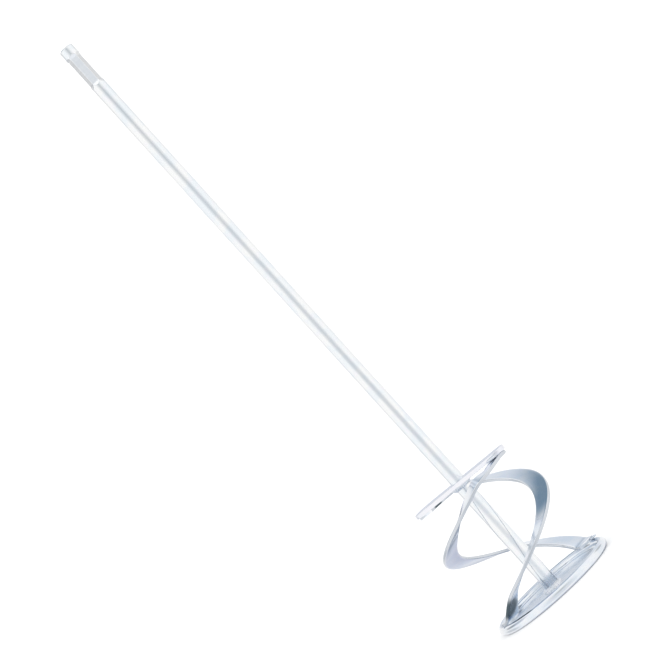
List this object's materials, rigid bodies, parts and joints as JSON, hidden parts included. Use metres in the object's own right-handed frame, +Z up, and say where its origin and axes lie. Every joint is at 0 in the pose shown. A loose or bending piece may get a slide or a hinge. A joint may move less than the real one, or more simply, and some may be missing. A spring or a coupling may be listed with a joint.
{
  "type": "mortar mixing paddle",
  "caption": "Zinc-plated mixing paddle: a long round shaft with a hex drive shank, and a whisk of helical ribbons between a flat crossbar and a rimmed dish.",
  "frame": {"origin": "centre of the dish's underside, on the floor that the paddle stands on", "axes": "+Z up along the shaft, towards the drive shank; -Y is the side that faces the viewer"},
  "size_m": [0.12, 0.12, 0.625],
  "materials": {
    "shaft_zinc": "bright blue-passivated zinc plating on drawn round bar, fine marks along the shaft",
    "bar_zinc": "bright blue-passivated zinc plating on flat bar",
    "ribbon_zinc": "bright blue-passivated zinc plating on cold-bent strip, glossy",
    "dish_zinc": "bright blue-passivated zinc plating on pressed sheet, glossy",
    "weld_zinc": "zinc-plated weld metal, duller and rippled"
  },
  "bodies": {
    "root": {"shaft": "shaft_zinc", "crossbar": "bar_zinc", "ribbon_a": "ribbon_zinc", "ribbon_b": "ribbon_zinc", "base_dish": "dish_zinc", "weld_shaft_dish": "weld_zinc", "weld_shaft_crossbar": "weld_zinc", "weld_ribbon_a_top": "weld_zinc", "weld_ribbon_a_foot": "weld_zinc", "weld_ribbon_b_top": "weld_zinc", "weld_ribbon_b_foot": "weld_zinc"}
  },
  "joints": []
}
